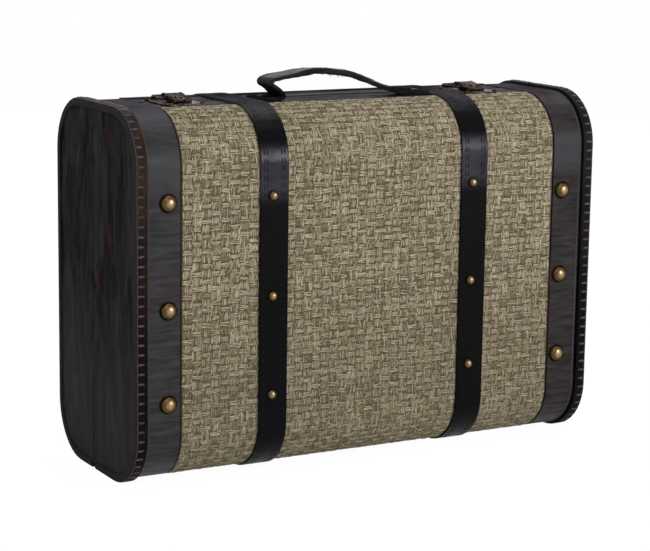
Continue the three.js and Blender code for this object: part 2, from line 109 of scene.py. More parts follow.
def colour_property(name, description, text):
    return FloatVectorProperty(
        name=name, description=description, subtype="COLOR", size=4, min=0, max=1, default=linear(text))


def size_property(name, description, default, lowest=0.0):
    return FloatProperty(name=name, description=description, default=default, min=lowest, unit="LENGTH")


class SuitcaseCloth(bpy.types.PropertyGroup):
    """Sizes and colours of the basket weave and the lining."""

    cell_width: size_property("Cell width", "Width of one block of strands", 7.69 * MM, 2 * MM)
    cell_height: size_property("Cell height", "Height of one block of strands", 5.6 * MM, 2 * MM)
    upright: IntProperty(name="Upright", description="Strands in an upright block", default=5, min=2, max=6)
    level: IntProperty(name="Level", description="Strands in a level block", default=3, min=2, max=5)
    tall_share: FloatProperty(
        name="Tall share", description="Share of two rows that an upright block takes", default=0.69,
        min=0.5, max=0.8)
    rise: size_property("Rise", "How far a strand stands over the backing", 0.62 * MM)
    light: colour_property("Light strand", "The palest khaki strands", "#baae93")
    dark: colour_property("Dark strand", "The deepest khaki strands", "#5f543a")
    gap: colour_property("Gap", "Backing between the strands", "#3f3624")
    lining: colour_property("Lining", "Plain cloth inside the case", "#75664f")


class SuitcaseLeather(bpy.types.PropertyGroup):
    """Sizes and colours of the leather and its thread."""

    strap_stitch: size_property("Strap stitch", "Pitch of the stitches along a strap", 6.3 * MM, 2 * MM)
    binding_stitch: size_property(
        "Binding stitch", "Pitch of the stitches over a binding", 7.25 * MM, 2 * MM)
    band: colour_property("Band", "Charcoal band of the left end", "#272627")
    right_band: colour_property("Right band", "Darker band of the right end", "#1e191c")
    strap: colour_property("Strap", "Glossy narrow straps", "#040405")
    trim: colour_property("Trim", "Dusty strips on the flat top and bottom", "#1e1c1f")
    binding: colour_property("Binding", "Dark brown binding of the left end", "#1a1210")
    black_binding: colour_property("Black binding", "Blackened binding of the right end", "#141315")
    thread: colour_property("Binding thread", "Soiled thread over the bindings", "#75635f")
    handle: colour_property("Handle", "Worn handle strap", "#141415")


class SuitcaseHardware(bpy.types.PropertyGroup):
    """Colours of the metal pieces."""

    nail: colour_property("Nail", "Aged brass of the domed nails", "#56442a")
    latch: colour_property("Latch", "Dark copper-bronze of the latches", "#3b2f2e")
    wire: colour_property("Wire", "Tarnished brass of the springs", "#4d4138")
    hinge: colour_property("Hinge", "Plated steel of the hinges", "#7c736a")


# Finishes


def add_node(tree, kind, inputs=(), output=0, **settings):
    """Adds a node with its settings, feeds its inputs by name or in order, and gives one of its outputs."""
    node = tree.nodes.new("ShaderNode" + kind)
    for name, value in settings.items():
        setattr(node, name, value)
    for key, value in inputs.items() if isinstance(inputs, dict) else enumerate(inputs):
        if isinstance(value, bpy.types.NodeSocket):
            tree.links.new(value, node.inputs[key])
        else:
            node.inputs[key].default_value = linear(value) if isinstance(value, str) else value
    return node.outputs[output] if node.outputs else node


def emptied(owner):
    """A material's or a world's node tree, without its first nodes."""
    owner.use_nodes = True
    owner.node_tree.nodes.clear()
    return owner.node_tree


def new_material(name):
    """An empty material, its node tree and the object's own coordinates."""
    material = bpy.data.materials.new(name)
    tree = emptied(material)
    return material, tree, add_node(tree, "TexCoord", output="Object")


def surfaced(material, inputs, relief=None, depth=0.0, strength=0.5):
    """Finishes a material: its shader takes the inputs, and a relief raises its surface."""
    tree = material.node_tree
    if relief is not None:
        raised = add_node(tree, "Bump", {"Height": relief, "Strength": strength, "Distance": depth})
        inputs = {**inputs, "Normal": raised}
    add_node(tree, "OutputMaterial", (add_node(tree, "BsdfPrincipled", inputs),))
    return material


def coated(tree, colour, *coats):
    """Lays coats on a colour, each a mask, where on it the coat starts and is full, strength and paint."""
    for mask, start, full, strength, paint in coats:
        share = add_node(tree, "MapRange", (mask, start, full, 0.0, strength))
        colour = add_node(tree, "Mix", {0: share, 6: colour, 7: paint}, 2, data_type="RGBA")
    return colour


def clouds(tree, place, size, detail=4.0, roughness=0.55, distortion=0.0):
    """A cloudy pattern, its patches about as large as a real size, or as one size along each axis."""
    sizes = size if isinstance(size, tuple) else (size, size, size)
    scaled = add_node(tree, "Mapping", {"Vector": place, "Scale": tuple(1 / length for length in sizes)})
    return add_node(tree, "TexNoise", {
        "Vector": scaled, "Scale": 1.0, "Detail": detail, "Roughness": roughness, "Distortion": distortion})


def edge_on(tree, start, full, flat_value, edge_value):
    """Runs from one value to another as a surface turns away from the eye."""
    facing = add_node(tree, "LayerWeight", {"Blend": 0.5}, "Facing")
    return add_node(tree, "MapRange", (facing, start, full, flat_value, edge_value))


def near_line(tree, place, axis, line, reach):
    """1 on a line at one place along an axis, falling to 0 at the reach."""
    along = add_node(tree, "SeparateXYZ", (place,), axis)
    away = add_node(tree, "Math", (along, line), operation="SUBTRACT")
    away = add_node(tree, "Math", (away,), operation="ABSOLUTE")
    return add_node(tree, "MapRange", (away, reach, reach * 0.4, 0.0, 1.0))


def woven_strand():
    """Spun strands like seagrass: matte, each its own khaki, with long fibres; upright blocks painted in shade
    and level ones painted light, and the cloth darkened towards the floor with painted shade.
    """
    cloth = bpy.context.scene.suitcase_cloth
    material, tree, place = new_material("basket_woven_strand")
    tone = add_node(tree, "Attribute", output="Fac", attribute_name="tone")
    own_map = add_node(tree, "TexCoord", output="UV")
    # The fibres are drawn as 2.6 streaks along a strand and 1.6 across it, coarse enough to show, and the
    # tone takes each strand to its own stretch of the pattern
    streaks = add_node(tree, "Mapping", {"Vector": own_map, "Scale": (2.6, 1.6, 1.0)})
    fibre = add_node(tree, "TexNoise", {
        "Vector": streaks, "W": add_node(tree, "Math", (tone, 57.0), operation="MULTIPLY"), "Scale": 1.0,
        "Detail": 3.0}, noise_dimensions="4D")
    colour = coated(
        tree, cloth.dark,
        # Tone per strand: its own khaki, with painted shade on upright blocks and painted light on level ones
        (tone, 0.0, 1.0, 1.0, cloth.light),
        (fibre, 0.5, 0.68, 0.65, "#ddd4c0"),
        (fibre, 0.48, 0.32, 0.6, "#544a33"),
        # Lilac and olive drifts, as in undyed fibre
        (clouds(tree, place, 8.33 * MM), 0.5, 0.66, 0.42, "#a38c83"),
        (clouds(tree, place, 6.67 * MM), 0.5, 0.66, 0.4, "#8a8249"),
        # Painted shade: darker towards the floor
        (near_line(tree, place, Z, 0.0, 170 * MM), 0.0, 1.0, 0.22, "#4a4433"))
    inputs = {"Base Color": colour, "Roughness": 0.82, "Specular IOR Level": 0.25}
    return surfaced(material, inputs, fibre, 0.15 * MM, 0.6)


def cloth_backing():
    """Scrim behind the weave, seen only as dark gaps, its threads about 0.7 mm apart."""
    material, tree, place = new_material("weave_backing_scrim")
    speckle = clouds(tree, place, 0.714 * MM, 2.0)
    colour = coated(tree, bpy.context.scene.suitcase_cloth.gap, (speckle, 0.3, 0.7, 1.0, "#6a604a"))
    return surfaced(material, {"Base Color": colour, "Roughness": 0.95, "Specular IOR Level": 0.1})


def lining_cloth():
    """Plain cotton lining: fine threads 0.5 mm apart, drawn about 1 mm apart so that they show."""
    material, tree, place = new_material("cotton_lining")
    thread_pair = 1.9635 * MM
    weave = add_node(tree, "Math", [
        add_node(tree, "TexWave", {
            "Vector": place, "Scale": math.tau / 20 / thread_pair, "Distortion": 0.6, "Detail": 1.0},
            "Fac", bands_direction=way)
        for way in "XZ"], operation="MULTIPLY")
    colour = coated(
        tree, bpy.context.scene.suitcase_cloth.lining,
        (weave, 0.0, 1.0, 0.35, "#a39378"),
        (clouds(tree, place, 45.5 * MM), 0.4, 0.75, 0.35, "#5c4d3a"))
    inputs = {"Base Color": colour, "Roughness": 0.92, "Specular IOR Level": 0.15}
    return surfaced(material, inputs, weave, 0.12 * MM)


def leather(name, base, streak, patch, roughness, streak_size, grain, specular, lines, shine_edge_on=0.1):
    """Finished hide: pebbled grain, rubbed streaks, patches of turned dye, lines painted or worn matte, among
    them painted shade, painted sheen and a painted highlight.
    """
    material, tree, place = new_material(name)
    rubbed = clouds(tree, place, streak_size, 5.0, 0.6)
    turned = clouds(tree, place, 32.3 * MM, 3.0)
    pebble = add_node(tree, "TexVoronoi", {
        "Vector": place, "Scale": 1 / PEBBLE, "Randomness": 1.0}, "Distance")
    colour = coated(tree, base, (rubbed, 0.38, 0.72, 1.0, streak))
    # Rubbed, dusty hide keeps no mirror shine where it is seen along its surface
    shine = edge_on(tree, 0.5, 0.85, specular, specular * shine_edge_on)
    for axis, line, reach, paint, matte in lines:
        mask = near_line(tree, place, axis, line, reach)
        if paint:
            colour = coated(tree, colour, (mask, 0.0, 1.0, 1.0, paint))
        left = add_node(tree, "MapRange", (mask, 0.0, 1.0, 1.0, 1.0 - matte))
        shine = add_node(tree, "Math", (shine, left), operation="MULTIPLY")
    colour = coated(tree, colour, (turned, 0.5, 0.7, 0.65, patch))
    rough = add_node(tree, "MapRange", (rubbed, 0.3, 0.75, roughness + 0.12, roughness - 0.08))
    relief = add_node(tree, "Math", (pebble, clouds(tree, place, 2.38 * MM, 3.0)), operation="ADD")
    inputs = {"Base Color": colour, "Roughness": rough, "Specular IOR Level": shine}
    return surfaced(material, inputs, relief, grain)


def stained_wood():
    """Stained board: near-black upright grain, worn to maroon in places, dusty towards the floor."""
    material, tree, place = new_material("stained_varnished_board")
    grain = clouds(tree, place, (3.846 * MM, 3.846 * MM, 29.41 * MM), 6.0, 0.62, 1.2)
    broad = clouds(tree, place, (15.625 * MM, 15.625 * MM, 62.5 * MM), 6.0, 0.66, 0.8)
    worn = clouds(tree, place, (11.765 * MM, 11.765 * MM, 41.67 * MM), 4.0, 0.6)
    colour = coated(
        tree, "#0f0f0f",
        (broad, 0.4, 0.66, 1.0, "#373637"),
        (grain, 0.46, 0.64, 0.4, "#0c0c0c"),
        (worn, 0.57, 0.7, 0.65, "#462832"),
        (worn, 0.4, 0.3, 0.5, "#34302c"),
        (near_line(tree, place, Z, 20 * MM, 130 * MM), 0.0, 1.0, 0.42, "#3f3f3f"))
    rough = add_node(tree, "MapRange", (grain, 0.3, 0.7, 0.52, 0.68))
    inputs = {"Base Color": colour, "Roughness": rough, "Specular IOR Level": 0.008}
    return surfaced(material, inputs, grain, 0.12 * MM)


def aged_brass():
    """Stamped brass nails with stains 2 mm wide: painted shade with patina darkens the rim's corner and the
    low flanks, and a painted highlight with rubbed wear brightens the top of the dome.
    """
    material, tree, place = new_material("aged_stamped_brass")
    shade_and_highlight = add_node(tree, "Attribute", output="Fac", attribute_name="shade_and_highlight")
    stain = clouds(tree, place, 1.923 * MM)
    colour = coated(
        tree, "#1d150d",
        # Painted shade with patina, dark at the rim, up to the brass; above that a painted highlight on the
        # dome's top
        (shade_and_highlight, 0.3, 0.7, 1.0, bpy.context.scene.suitcase_hardware.nail),
        (shade_and_highlight, 0.84, 1.0, 0.5, "#bfae86"),
        (stain, 0.5, 0.72, 0.6, "#33281a"))
    rough = add_node(tree, "MapRange", (stain, 0.35, 0.7, 0.26, 0.38))
    return surfaced(material, {
        "Base Color": colour, "Roughness": rough, "Metallic": 1.0, "Specular Tint": (0.5, 0.42, 0.32, 1)})


def old_metal(name, base, stain_colour, roughness, edge=1.0, painted_glint_share=0.0):
    """Plated or cast hardware: soft tarnish about 3 mm wide, and painted glints in spots where it is seen edge
    on.
    """
    material, tree, place = new_material(name)
    stain = clouds(tree, place, 3.333 * MM)
    # Pale spots painted as glints, strongest where the surface is seen edge on
    rubbed = add_node(tree, "MapRange", (clouds(tree, place, 2 * MM, 2.0, 0.5), 0.54, 0.62, 0.0, painted_glint_share))
    painted_glint = add_node(tree, "Math", (rubbed, edge_on(tree, 0.35, 0.75, 0.15, 1.0)), operation="MULTIPLY")
    colour = coated(
        tree, base, (stain, 0.42, 0.62, 0.85, stain_colour), (painted_glint, 0.0, 1.0, 1.0, "#c4aea6"))
    rough = add_node(tree, "MapRange", (stain, 0.3, 0.7, roughness, roughness + 0.16))
    return surfaced(material, {
        "Base Color": colour, "Roughness": rough, "Metallic": 1.0, "Specular Tint": (edge, edge, edge, 1),
    }, stain, 0.08 * MM, 0.4)


def thread(name, base, shade, specular=0.2):
    """Waxed thread: a twist of about 1 mm, darker between its plies, soiled in stretches of 17 mm."""
    material, tree, place = new_material(name)
    ply = clouds(tree, place, 1.111 * MM, 2.0)
    soiled = clouds(tree, place, 16.67 * MM, 3.0)
    colour = coated(tree, shade, (ply, 0.35, 0.7, 1.0, base), (soiled, 0.4, 0.62, 0.7, shade))
    inputs = {"Base Color": colour, "Roughness": 0.6, "Specular IOR Level": specular}
    return surfaced(material, inputs, ply, 0.1 * MM)


# Width of one pebble of the hide's grain, and the rubbed streaks' size along each axis
PEBBLE = 0.909 * MM
ACROSS_BAND = (25 * MM, 25 * MM, 3.333 * MM)
EVEN = 16.67 * MM
ACROSS_TRIM = (45.45 * MM, 6.667 * MM, 16.67 * MM)
ACROSS_HANDLE = (16.67 * MM, 5.556 * MM, 8.333 * MM)
# Painted shade in the seam, the painted, rubbed and soiled edges, painted sheens and a painted highlight:
# axis, place, reach, colour if any, and how matte, where a value below 0 adds shine
# A black line along the seam: painted shade in the gap between the halves
SEAM_SHADE_LINES = ((Y, SEAM, 0.8 * MM, "#020202", 0.94),)
# On the trims a wider black band along the seam: painted shade
TRIM_SEAM_SHADE_LINES = ((Y, SEAM, 4.5 * MM, "#030203", 0.97),)
STRAP_LINES = (
    # Painted sheen: a bluish lighter band low on the top corner, its shine raised too
    (Z, TOP - 50 * MM, 24 * MM, "#262632", -2.2),
    # On top: dusty and so matte, and painted lighter in place of its sheen
    (Z, TOP, 13 * MM, "#49474b", 1.0),
) + SEAM_SHADE_LINES
# First line: painted sheen, a lighter grey band low on the bands' top corner
BAND_LINES = ((Z, TOP - 46 * MM, 22 * MM, "#3b3c3f", 0.0),) + SEAM_SHADE_LINES + (
    # On top: dusty and so matte, and painted lighter in place of its sheen
    (Z, TOP, 14 * MM, "#555357", 1.0),
    # Where the bands meet the cloth: dark cut edges, with painted shade along them
    (X, band_high.x, 1.7 * MM, "#150f12", 0.94),
    (X, -band_high.x, 1.7 * MM, "#0c0a0c", 0.94),
    (X, band_low.x + 1.9 * MM, 0.7 * MM, "#4a4134", 0.5),
    (X, band_low.x + 0.6 * MM, 0.9 * MM, "#17100c", 0.94),
    (X, -band_low.x - 2.2 * MM, 0.9 * MM, "#434144", 0.2),
    (X, -band_low.x - 0.3 * MM, 1.0 * MM, "#0b090a", 0.94),
)
HANDLE_LINES = ((Z, TOP, 11 * MM, None, 1.0),)
LEFT_BINDING_LINES, RIGHT_BINDING_LINES = (
    SEAM_SHADE_LINES + (
        (Z, 20 * MM, 215 * MM, "#0d0909", 0.5),
        # A painted highlight along the lip's rounded edge
        (X, edge + inward * 1.6 * MM, 0.5 * MM, "#4b4446", 0.5),
        (X, edge, 1.3 * MM, "#323132", 0.94),
    ) for edge, inward in ((binding_low.x, 1), (-binding_low.x, -1)))
FINISHES = {}


def finish(name):
    """The material of one real finish, made once."""
    if name in FINISHES:
        return FINISHES[name]
    hide = bpy.context.scene.suitcase_leather
    metal = bpy.context.scene.suitcase_hardware
    # A leather's colours: hide, rubbed streaks, turned dye; then roughness, streaks, grain, shine and lines
    makers = {
        "strand": woven_strand,
        "backing": cloth_backing,
        "lining": lining_cloth,
        "wood": stained_wood,
        "brass": aged_brass,
        "left_band": lambda: leather(
            "charcoal_band_leather", hide.band, "#404042", "#38252e", 0.38, ACROSS_BAND, 0.1 * MM, 0.11,
            BAND_LINES),
        "right_band": lambda: leather(
            "purple_black_band_leather", hide.right_band, "#3a3736", "#39272b", 0.4, ACROSS_BAND, 0.1 * MM,
            0.09, BAND_LINES),
        "strap": lambda: leather(
            "glossy_black_strap_leather", hide.strap, "#0a090d", "#08060a", 0.22, EVEN, 0.03 * MM, 0.05,
            STRAP_LINES),
        "left_binding": lambda: leather(
            "purple_brown_binding_leather", hide.binding, "#33251c", "#422a35", 0.4, EVEN, 0.12 * MM, 0.07,
            LEFT_BINDING_LINES),
        "right_binding": lambda: leather(
            "blackened_binding_leather", hide.black_binding, "#1d1d1f", "#1d1519", 0.42, EVEN, 0.12 * MM,
            0.05, RIGHT_BINDING_LINES),
        # The trim's pale streaks are rubbed wear and also painted highlights of its wrinkles
        "trim": lambda: leather(
            "dark_trim_leather", hide.trim, "#57525c", "#221c1f", 0.7, ACROSS_TRIM, 0.12 * MM, 0.03,
            TRIM_SEAM_SHADE_LINES, 1.0),
        "handle": lambda: leather(
            "worn_handle_leather", hide.handle, "#2d2d2f", "#0d0c0d", 0.5, ACROSS_HANDLE, 0.18 * MM, 0.06,
            HANDLE_LINES, 1.0),
        "left_thread": lambda: thread("soiled_binding_thread", hide.thread, "#33282a", 0.1),
        "right_thread": lambda: thread("grey_binding_thread", "#606165", "#302f32"),
        "black_thread": lambda: thread("black_strap_thread", "#08080b", "#030304", 0.1),
        "latch": lambda: old_metal("antique_copper_bronze", metal.latch, "#120c0d", 0.3, 0.35, 0.7),
        "rivet": lambda: old_metal("blackened_steel", "#1b1b1d", "#0d0d0e", 0.45),
        "wire": lambda: old_metal("tarnished_brass_wire", metal.wire, "#1c1512", 0.28, 0.6, 0.9),
        "hinge": lambda: old_metal("antique_plated_steel", metal.hinge, "#3a332d", 0.36, 0.8, 0.1),
    }
    FINISHES[name] = makers[name]()
    return FINISHES[name]


# Shaping and placing


def cover(piece, look):
    piece.data.materials.clear()
    piece.data.materials.append(finish(look))


def dress(piece, look, body):
    """Gives a finished piece its material and body."""
    cover(piece, look)
    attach(piece, body)


def select_only(*objects):
    for item in list(bpy.context.selected_objects):
        item.select_set(False)
    for item in objects:
        item.select_set(True)
        bpy.context.view_layer.objects.active = item


@contextmanager
def editing(piece):
    """Edit mode with the whole piece selected, for as long as a block lasts."""
    select_only(piece)
    bpy.ops.object.mode_set(mode="EDIT")
    bpy.ops.mesh.select_all(action="SELECT")
    yield
    bpy.ops.object.mode_set(mode="OBJECT")


def fix_place(piece):
    select_only(piece)
    bpy.ops.object.transform_apply(location=True, rotation=True, scale=True)
    return piece


def modify(piece, kind, **settings):
    """Adds a modifier and applies it."""
    select_only(piece)
    modifier = piece.modifiers.new("shape", kind)
    for name, value in settings.items():
        setattr(modifier, name, value)
    bpy.ops.object.modifier_apply(modifier=modifier.name)
    return piece


def rounded(piece, width, segments=2, degrees=35):
    """Rounds every edge that turns by more than an angle."""
    angle = math.radians(degrees)
    return modify(piece, "BEVEL", width=width, segments=segments, limit_method="ANGLE", angle_limit=angle)


def smooth(piece, degrees=35):
    select_only(piece)
    bpy.ops.object.shade_smooth_by_angle(angle=math.radians(degrees))
    return piece


def weigh_normals(piece):
    """Keeps broad faces flat to the light beside their rounded edges."""
    return modify(piece, "WEIGHTED_NORMAL", keep_sharp=True)


def tidy_normals(piece):
    with editing(piece):
        bpy.ops.mesh.normals_make_consistent(inside=False)
    return piece


def named(piece, name):
    piece.name = name
    piece.data.name = name
    return piece


def linked(name, mesh):
    piece = bpy.data.objects.new(name, mesh)
    bpy.context.scene.collection.objects.link(piece)
    return piece


def stood(place, angle=0.0, axis="Z"):
    """Where a small piece stands, turned about one axis."""
    return Matrix.Translation(place) @ Matrix.Rotation(angle, 4, axis)


def copy_of_node(node, name, bevel=0.0):
    """A merged copy of a solid, its edges rounded as worn or pressed stock is."""
    piece = named(linked(name, frame["nodes"][node].data.copy()), name)
    with editing(piece):
        bpy.ops.mesh.remove_doubles(threshold=MERGED)
        bpy.ops.mesh.dissolve_limited(angle_limit=math.radians(1))
    if bevel:
        with editing(rounded(piece, bevel)):
            bpy.ops.mesh.dissolve_degenerate(threshold=SLIVER)
    smooth(piece)
    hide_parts(node)
    return piece


def moved_copy(piece, name, change):
    """A copy with its own mesh, its points put through a change."""
    twin = named(linked(name, piece.data.copy()), name)
    points = np.empty(len(twin.data.vertices) * 3)
    twin.data.vertices.foreach_get("co", points)
    twin.data.vertices.foreach_set("co", change(points.reshape(-1, 3)).ravel())
    twin.data.update()
    return twin


def to_lid(points):
    """Base to lid: turned over the seam, with the lid's shorter flats."""
    turned = points.copy()
    from_seam = SEAM - turned[:, Y]
    longer = HALVES["base"]["depth"] - HALVES["lid"]["depth"]
    beyond_flat = from_seam > HALVES["lid"]["depth"] - CORNER
    turned[:, Y] = SEAM + from_seam - np.where(beyond_flat, longer, 0)
    return turned


def lid_twin(piece, name):
    twin = moved_copy(piece, name, to_lid)
    twin.data.flip_normals()
    return twin


def wrap_place(half, depth, distance):
    """A place on the way over, down and under one half at a depth, and the direction out of it."""
    side = HALVES[half]["side"]
    flat = HALVES[half]["depth"] - CORNER
    radius = CORNER - depth
    arc = radius * QUARTER
    tall = TOP - 2 * CORNER

    def on_corner(angle, centre):
        out = (side * math.cos(angle), math.sin(angle))
        return (SEAM + side * flat + out[0] * radius, centre + out[1] * radius), out

    if distance < flat:
        return (SEAM + side * distance, TOP - depth), (0.0, 1.0)
    distance -= flat
    if distance < arc:
        return on_corner(QUARTER - distance / radius, TOP - CORNER)
    distance -= arc
    if distance < tall:
        return (SEAM + side * (flat + radius), TOP - CORNER - distance), (float(side), 0.0)
    distance -= tall
    if distance < arc:
        return on_corner(-distance / radius, CORNER)
    return (SEAM + side * (flat + arc - distance), depth), (0.0, -1.0)


def wrap_length(half, depth):
    flat = HALVES[half]["depth"] - CORNER
    return 2 * flat + 2 * (CORNER - depth) * QUARTER + TOP - 2 * CORNER


def wrap_matrix(half, depth, distance, across):
    """Where a small piece stands on a wrapped strip: its X across the strip, its Z out of it."""
    (y, z), (out_y, out_z) = wrap_place(half, depth, distance)
    return Matrix(((1, 0, 0, across), (0, out_z, out_y, y), (0, -out_y, out_z, z), (0, 0, 0, 1)))


def repeated(model, matrices, name, tones=None):
    """One smooth mesh of copies of a modelled shape, which is then removed; each copy may have a tone."""
    base = np.empty(len(model.data.vertices) * 3)
    model.data.vertices.foreach_get("co", base)
    base = base.reshape(-1, 3)
    turns = np.array([[list(row) for row in matrix] for matrix in matrices])
    points = np.einsum("mij,vj->mvi", turns[:, :3, :3], base) + turns[:, None, :3, 3]
    faces = [tuple(polygon.vertices) for polygon in model.data.polygons]
    count = len(base)
    mesh = bpy.data.meshes.new(name)
    mesh.from_pydata(
        points.reshape(-1, 3).tolist(), [],
        [tuple(corner + copy * count for corner in face) for copy in range(len(matrices)) for face in faces])
    if model.data.uv_layers:
        own = np.empty(len(model.data.loops) * 2)
        model.data.uv_layers[0].data.foreach_get("uv", own)
        mesh.uv_layers.new(name="own").data.foreach_set("uv", np.tile(own, len(matrices)))
    if tones:
        mesh.attributes.new("tone", "FLOAT", "POINT").data.foreach_set("value", np.repeat(tones, count))
    # The nails' height over the dome, which the brass turns into painted shade and painted highlight
    source = model.data.attributes.get("shade_and_highlight")
    if source:
        own = np.empty(count)
        source.data.foreach_get("value", own)
        shade_and_highlight = mesh.attributes.new("shade_and_highlight", "FLOAT", "POINT")
        shade_and_highlight.data.foreach_set("value", np.tile(own, len(matrices)))
    mesh.polygons.foreach_set("use_smooth", [True] * len(mesh.polygons))
    mesh.update()
    bpy.data.objects.remove(model)
    return linked(name, mesh)


def start_shape(adder, name, **settings):
    """Adds a primitive at its size and place, the only thing selected."""
    select_only()
    adder(**settings)
    return named(bpy.context.active_object, name)


# Woven cloth

CLOTH_MARGIN = 0.8 * MM
# Shares of a strand's rise: what its arch loses at its sides, and what its ends dip below the backing
SIDE_SHARE, DIP_SHARE = 0.85, 0.3
# An upright and a level block: share of its width that its strands fill, mean tone, height over the rest; the
# mean tones paint the upright blocks in shade and the level ones in light
UPRIGHT_BLOCK = (0.9, 0.37, 0.0)
LEVEL_BLOCK = (0.78, 0.88, 0.08 * MM)
# A strand is a little longer than its block, a level one than its cell, so that ends are covered
LENGTH_SHARE, LEVEL_SHARE = 1.06, 1.02
# How much strands differ: sideways, in height, in turn, in length and width, and in tone by block and strand
SIDE_SPREAD, HEIGHT_SPREAD, TURN_SPREAD = 0.12 * MM, 0.1 * MM, math.radians(4)
LENGTH_SPREAD, FILL_SPREAD, BLOCK_SPREAD, TONE_SPREAD = 0.06, 0.1, 0.13, 0.26


def strand_model(rise):
    """One strand of the weave: a strip arched across, its ends dipping under the next block."""
    strand = start_shape(
        bpy.ops.mesh.primitive_grid_add, "strand", x_subdivisions=3, y_subdivisions=2, size=1)
    for vertex in strand.data.vertices:
        along, across = vertex.co.x * 2, vertex.co.y * 2
        arch = rise * (1 - SIDE_SHARE * across ** 2)
        dip = along ** 2
        vertex.co.z = arch * (1 - dip) - DIP_SHARE * rise * dip
    return strand


def weave_places(wide, long):
    """Places of all strands on the flat cloth: tall upright blocks and low level ones, turn by turn."""
    cloth = bpy.context.scene.suitcase_cloth
    draw = np.random.default_rng(7)
    columns, rows = round(wide / cloth.cell_width), round(long / cloth.cell_height)
    step_x, step_y = wide / columns, long / rows
    upright = (step_y * cloth.tall_share * 2, step_x, cloth.upright, *UPRIGHT_BLOCK)
    level = (step_x * LEVEL_SHARE, step_y * (1 - cloth.tall_share) * 2, cloth.level, *LEVEL_BLOCK)
    matrices, tones = [], []
    for column in range(columns):
        for row in range(rows):
            stands = (column + row) % 2
            length, room, count, fill, tone, lift = upright if stands else level
            # Mean tone of a block: painted shade when upright, painted light when level, with its own spread
            block_tone = draw.normal(tone, BLOCK_SPREAD)
            for strand in range(count):
                offset = ((strand + 0.5) / count - 0.5) * room + draw.normal(0, SIDE_SPREAD)
                x = (column + 0.5) * step_x - wide / 2 + (offset if stands else 0)
                y = (row + 0.5) * step_y + (0 if stands else offset)
                turn = (QUARTER if stands else 0) + draw.normal(0, TURN_SPREAD)
                long_by = length * draw.normal(LENGTH_SHARE, LENGTH_SPREAD)
                wide_by = room / count * draw.normal(fill, FILL_SPREAD)
                place = stood((x, y, lift + draw.normal(0, HEIGHT_SPREAD)), turn)
                matrices.append(place @ Matrix.Diagonal((long_by, wide_by, 1, 1)))
                tones.append(min(max(block_tone + draw.normal(0, TONE_SPREAD), 0), 1))
    return matrices, tones


def wrap_cloth(points):
    """Lays the flat weave round the base: its length goes over the top corner, down the face and under."""
    flat = HALVES["base"]["depth"] - CORNER
    laid = np.empty_like(points)
    for number, (x, along, rise) in enumerate(points):
        (y, z), (out_y, out_z) = wrap_place("base", COVER_DEPTH, flat + along)
        laid[number] = (x, y + out_y * rise, z + out_z * rise)
    return laid


class SUITCASE_OT_cloth(bpy.types.Operator):
    """Weave the strands over the front and the back, on their dark backing"""

    bl_idname = "suitcase.cloth"
    bl_label = "Woven cloth"

    def execute(self, context):
        cloth = context.scene.suitcase_cloth
        wide = cover_high.x - cover_low.x - 2 * CLOTH_MARGIN
        long = 2 * (CORNER - COVER_DEPTH) * QUARTER + TOP - 2 * CORNER
        matrices, tones = weave_places(wide, long)
        flat = repeated(strand_model(cloth.rise), matrices, "flat_weave", tones)
        base = moved_copy(flat, "base_basket_weave", wrap_cloth)
        bpy.data.objects.remove(flat)
        base.data.flip_normals()
        lid = lid_twin(base, "lid_basket_weave")
        dress(base, "strand", "base")
        dress(lid, "strand", "lid")
        for half in HALVES:
            cover(frame["nodes"][f"{half}_weave_cover"], "backing")
        return {"FINISHED"}


# Leather

BAND_EDGE, STRAP_EDGE, BINDING_EDGE, TRIM_EDGE = 0.35 * MM, 0.6 * MM, 0.3 * MM, 0.3 * MM
FIRST_STITCH = 5 * MM
BARE_UNDERSIDE = 14 * MM
# A strap's two seams from its edge, and the stitches' size across the strip, along it and out of it
STRAP_SEAMS = (3.5 * MM, 6 * MM)
STRAP_STITCH = (0.9 * MM, 4.6 * MM, 0.5 * MM)
BINDING_STITCH = (6.8 * MM, 2.1 * MM, 1.0 * MM)
BINDING_SEAM_SHIFT = 0.45 * MM
BINDING_SEAM_DEPTH = 0.05 * MM
TAPE_START, TAPE_REACH, TAPE_THICKNESS = -2 * MM, 11 * MM, 1.2 * MM


def dressed_pair(part, look, bevel):
    """A wrapped leather piece for both halves, its cut edges rounded."""
    base = copy_of_node(f"base_{part}", f"base_{part}_leather", bevel)
    lid = lid_twin(base, f"lid_{part}_leather")
    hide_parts(f"lid_{part}")
    dress(weigh_normals(base), look, "base")
    dress(weigh_normals(lid), look, "lid")


def stitched_lines(half, name, across, depth, pitch, size, look):
    """Plump stitches from the seam over the top and down the face; the worn underside keeps none."""
    stitch = start_shape(
        bpy.ops.mesh.primitive_uv_sphere_add, "stitch", segments=6, ring_count=4, radius=0.5)
    stitch.scale = size
    underside = HALVES[half]["depth"] - CORNER + BARE_UNDERSIDE
    count = int((wrap_length(half, depth) - FIRST_STITCH - underside) / pitch)
    places = [FIRST_STITCH + (number + 0.5) * pitch for number in range(count)]
    matrices = [wrap_matrix(half, depth, place, x) for x in across for place in places]
    dress(repeated(fix_place(stitch), matrices, name), look, half)


class SUITCASE_OT_bands(bpy.types.Operator):
    """Wrap the wide charcoal bands round both ends"""

    bl_idname = "suitcase.bands"
    bl_label = "End bands"

    def execute(self, context):
        for end in ENDS:
            dressed_pair(f"{end}_band", f"{end}_band", BAND_EDGE)
        return {"FINISHED"}


